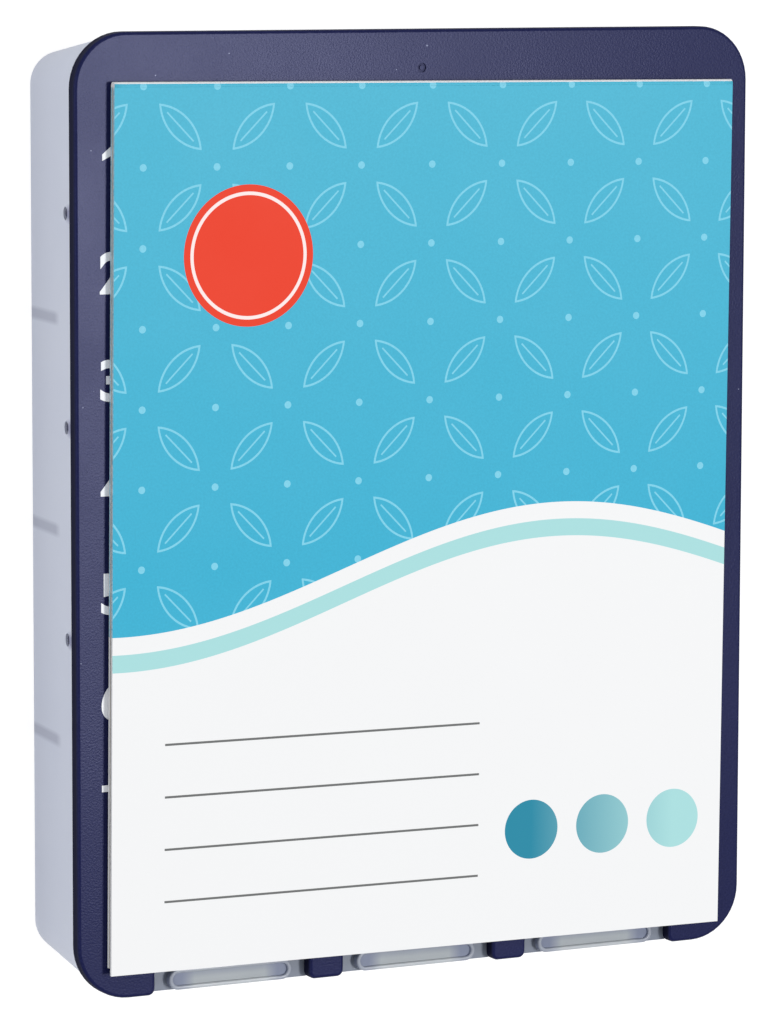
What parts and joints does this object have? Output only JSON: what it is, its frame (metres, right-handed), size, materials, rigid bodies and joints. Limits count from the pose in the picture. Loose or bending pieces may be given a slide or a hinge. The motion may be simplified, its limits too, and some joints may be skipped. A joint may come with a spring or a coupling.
{
  "type": "pill organizer",
  "caption": "Flat pill organizer: a see-through tray of wells under a dark frame, with a sliding see-through cover over each column of wells and a folded card on the face.",
  "frame": {"origin": "middle of the back, which it lies on", "axes": "+Z out of the face, +Y to the top edge, +X to the right seen from the front"},
  "size_m": [0.086, 0.109, 0.0197],
  "materials": {
    "frosted_polypropylene": "satin",
    "navy_plastic": "satin",
    "clear_plastic": "gloss",
    "printed_card": "satin",
    "glue": "gloss"
  },
  "bodies": {
    "case": {"tray": "frosted_polypropylene", "front_frame": "navy_plastic"},
    "slider_left": {"slider_left": "clear_plastic"},
    "slider_middle": {"slider_middle": "clear_plastic"},
    "slider_right": {"slider_right": "clear_plastic"},
    "leaflet": {"leaflet_back": "printed_card", "glue_dots": "glue"},
    "leaflet_cover": {"leaflet_front": "printed_card"}
  },
  "joints": [
    {"name": "slide_left", "type": "slide", "parent": "case", "child": "slider_left", "axis": [0, -1, 0], "range_m": [0, 0.086]},
    {"name": "slide_middle", "type": "slide", "parent": "case", "child": "slider_middle", "axis": [0, -1, 0], "range_m": [0, 0.086]},
    {"name": "slide_right", "type": "slide", "parent": "case", "child": "slider_right", "axis": [0, -1, 0], "range_m": [0, 0.086]},
    {"name": "leaflet_lift", "type": "slide", "parent": "case", "child": "leaflet", "axis": [0, 0, 1], "range_m": [0, 0.06]},
    {"name": "leaflet_fold", "type": "hinge", "parent": "leaflet", "child": "leaflet_cover", "pos_m": [0.00085, 0.04815, 0.0192], "axis": [-1, 0.0087, 0], "range_deg": [0, 170]}
  ]
}
